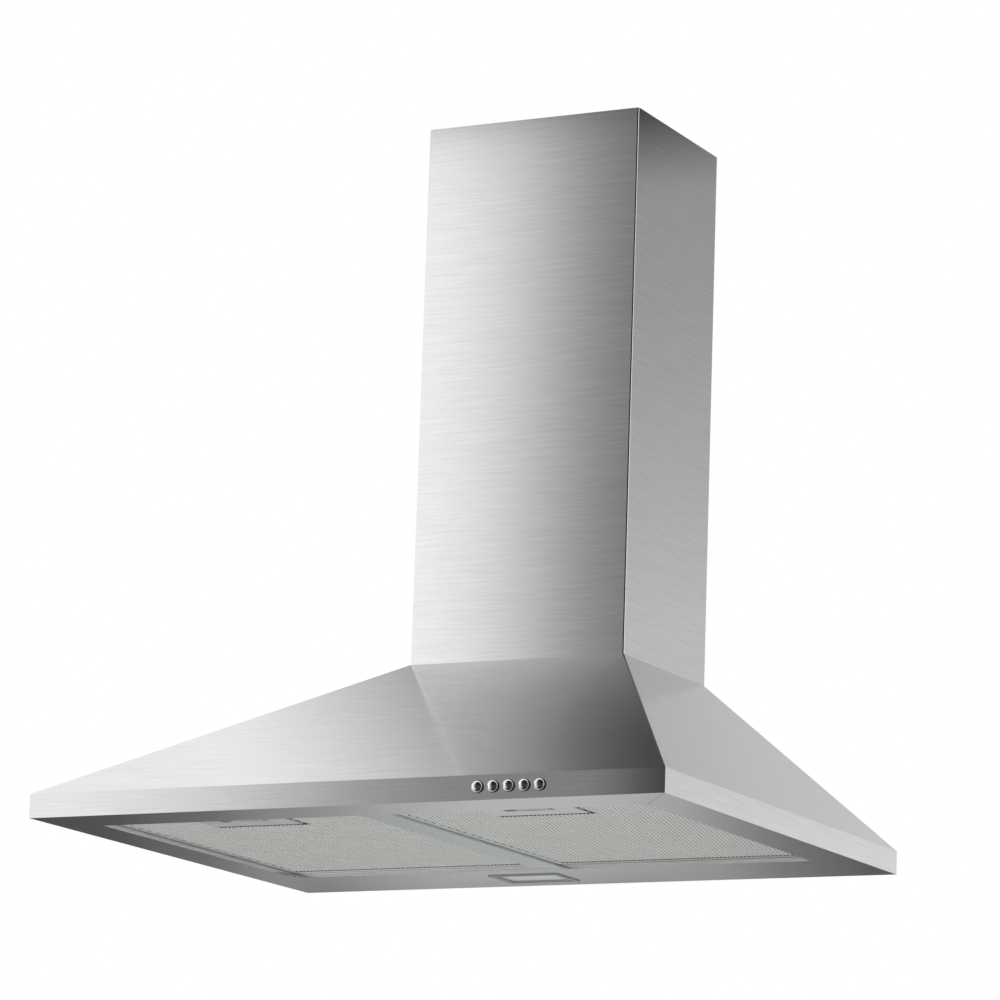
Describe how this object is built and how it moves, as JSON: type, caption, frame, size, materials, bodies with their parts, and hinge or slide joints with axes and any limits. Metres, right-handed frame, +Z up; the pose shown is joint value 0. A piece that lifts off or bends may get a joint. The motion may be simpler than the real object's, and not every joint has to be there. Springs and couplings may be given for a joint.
{
  "type": "chimney range hood",
  "caption": "Wall-mounted stainless steel chimney range hood: pyramid canopy, telescopic chimney, drop-down grease filters, push buttons, lamp and blower.",
  "frame": {"origin": "on the wall plane, below the middle of the back panel, at the level of the rim's underside", "axes": "+X to the right of someone who faces the hood, +Y into the wall, +Z up"},
  "size_m": [0.6, 0.5045, 0.686],
  "materials": {
    "brushed_stainless": "horizontal brushed grain, satin",
    "bar_steel": "pale grey satin coating",
    "galvanised_sheet": "zinc coated, mill finish",
    "filter_aluminium": "satin, rolled",
    "filter_mesh": "expanded metal, matt",
    "filter_layers": "expanded metal, matt",
    "latch_plastic": "grey, moulded",
    "spring_steel": "bright drawn wire",
    "chromed_button": "polished",
    "black_plastic": "moulded",
    "bezel_plastic": "dark grey, satin",
    "lamp_glass": "frosted",
    "lamp_housing": "white, moulded",
    "led_board": "white board",
    "scroll_plastic": "black, moulded",
    "wheel_plastic": "dark grey, moulded",
    "duct_plastic": "black, moulded",
    "motor_casing": "zinc plated",
    "motor_iron": "laminated",
    "bush_bronze": "sintered",
    "ground_steel": "ground",
    "zinc_screw": "zinc plated",
    "box_plastic": "light grey, moulded",
    "terminal_plastic": "natural, moulded",
    "capacitor_casing": "white, moulded",
    "grommet_rubber": "moulded",
    "loom_sleeve": "black sleeve"
  },
  "bodies": {
    "hood": {"back_panel": "galvanised_sheet", "blower_bracket": "galvanised_sheet", "blower_screws": "zinc_screw", "button_spring_1": "spring_steel", "button_spring_2": "spring_steel", "button_spring_3": "spring_steel", "button_spring_4": "spring_steel", "button_spring_5": "spring_steel", "cable_grommet": "grommet_rubber", "canopy_shell": "brushed_stainless", "capacitor_clip": "galvanised_sheet", "centre_bar": "bar_steel", "damper_pin": "ground_steel", "duct_spigot": "duct_plastic", "fan_scroll_left": "scroll_plastic", "fan_scroll_right": "scroll_plastic", "lamp_bezel": "bezel_plastic", "lamp_box": "lamp_housing", "lamp_lens": "lamp_glass", "lamp_panel": "brushed_stainless", "led_board": "led_board", "lower_chimney": "brushed_stainless", "motor_bushes": "bush_bronze", "motor_can": "motor_casing", "motor_capacitor": "capacitor_casing", "motor_screws": "zinc_screw", "motor_spider": "galvanised_sheet", "motor_stator": "motor_iron", "switch_body": "black_plastic", "switch_bracket": "galvanised_sheet", "switch_screws": "zinc_screw", "terminal_block": "terminal_plastic", "terminal_box": "box_plastic", "terminal_cover": "black_plastic", "wiring_loom": "loom_sleeve"},
    "inner_chimney": {"upper_chimney": "brushed_stainless", "upper_bracket": "galvanised_sheet", "bracket_screws": "zinc_screw"},
    "fan": {"fan_wheel": "wheel_plastic", "motor_rotor": "motor_iron", "motor_shaft": "ground_steel"},
    "damper_front": {"damper_flap_front": "duct_plastic"},
    "damper_rear": {"damper_flap_rear": "duct_plastic"},
    "filter_left": {"filter_frame_left": "filter_aluminium", "filter_screen_left": "filter_mesh", "filter_pack_left": "filter_layers", "latch_plate_left": "filter_aluminium", "latch_spring_left": "spring_steel"},
    "latch_left": {"filter_latch_left": "latch_plastic"},
    "filter_right": {"filter_frame_right": "filter_aluminium", "filter_screen_right": "filter_mesh", "filter_pack_right": "filter_layers", "latch_plate_right": "filter_aluminium", "latch_spring_right": "spring_steel"},
    "latch_right": {"filter_latch_right": "latch_plastic"},
    "push_button_1": {"button_1": "chromed_button"},
    "push_button_2": {"button_2": "chromed_button"},
    "push_button_3": {"button_3": "chromed_button"},
    "push_button_4": {"button_4": "chromed_button"},
    "push_button_5": {"button_5": "chromed_button"}
  },
  "joints": [
    {"name": "chimney_extend", "type": "slide", "parent": "hood", "child": "inner_chimney", "axis": [0, 0, 1], "range_m": [0, 0.36]},
    {"name": "fan_spin", "type": "hinge", "parent": "hood", "child": "fan", "pos_m": [0, -0.088, 0.142], "axis": [1, 0, 0], "continuous": true},
    {"name": "damper_front_swing", "type": "hinge", "parent": "hood", "child": "damper_front", "pos_m": [0, -0.088, 0.272], "axis": [-1, 0, 0], "range_deg": [0, 75]},
    {"name": "damper_rear_swing", "type": "hinge", "parent": "hood", "child": "damper_rear", "pos_m": [0, -0.088, 0.272], "axis": [1, 0, 0], "range_deg": [0, 75]},
    {"name": "filter_left_drop", "type": "hinge", "parent": "hood", "child": "filter_left", "pos_m": [-0.1365, -0.0996, 0.004], "axis": [1, 0, 0], "range_deg": [0, 50]},
    {"name": "latch_left_pull", "type": "slide", "parent": "filter_left", "child": "latch_left", "axis": [0, 1, 0], "range_m": [0, 0.005], "stiffness_N_per_m": 300, "deforming": ["latch_spring_left"]},
    {"name": "filter_right_drop", "type": "hinge", "parent": "hood", "child": "filter_right", "pos_m": [0.1365, -0.0996, 0.004], "axis": [1, 0, 0], "range_deg": [0, 50]},
    {"name": "latch_right_pull", "type": "slide", "parent": "filter_right", "child": "latch_right", "axis": [0, 1, 0], "range_m": [0, 0.005], "stiffness_N_per_m": 300, "deforming": ["latch_spring_right"]},
    {"name": "button_1_press", "type": "slide", "parent": "hood", "child": "push_button_1", "axis": [0, 1, 0], "range_m": [0, 0.003], "stiffness_N_per_m": 400, "deforming": ["button_spring_1"]},
    {"name": "button_2_press", "type": "slide", "parent": "hood", "child": "push_button_2", "axis": [0, 1, 0], "range_m": [0, 0.003], "stiffness_N_per_m": 400, "deforming": ["button_spring_2"]},
    {"name": "button_3_press", "type": "slide", "parent": "hood", "child": "push_button_3", "axis": [0, 1, 0], "range_m": [0, 0.003], "stiffness_N_per_m": 400, "deforming": ["button_spring_3"]},
    {"name": "button_4_press", "type": "slide", "parent": "hood", "child": "push_button_4", "axis": [0, 1, 0], "range_m": [0, 0.003], "stiffness_N_per_m": 400, "deforming": ["button_spring_4"]},
    {"name": "button_5_press", "type": "slide", "parent": "hood", "child": "push_button_5", "axis": [0, 1, 0], "range_m": [0, 0.003], "stiffness_N_per_m": 400, "deforming": ["button_spring_5"]}
  ]
}
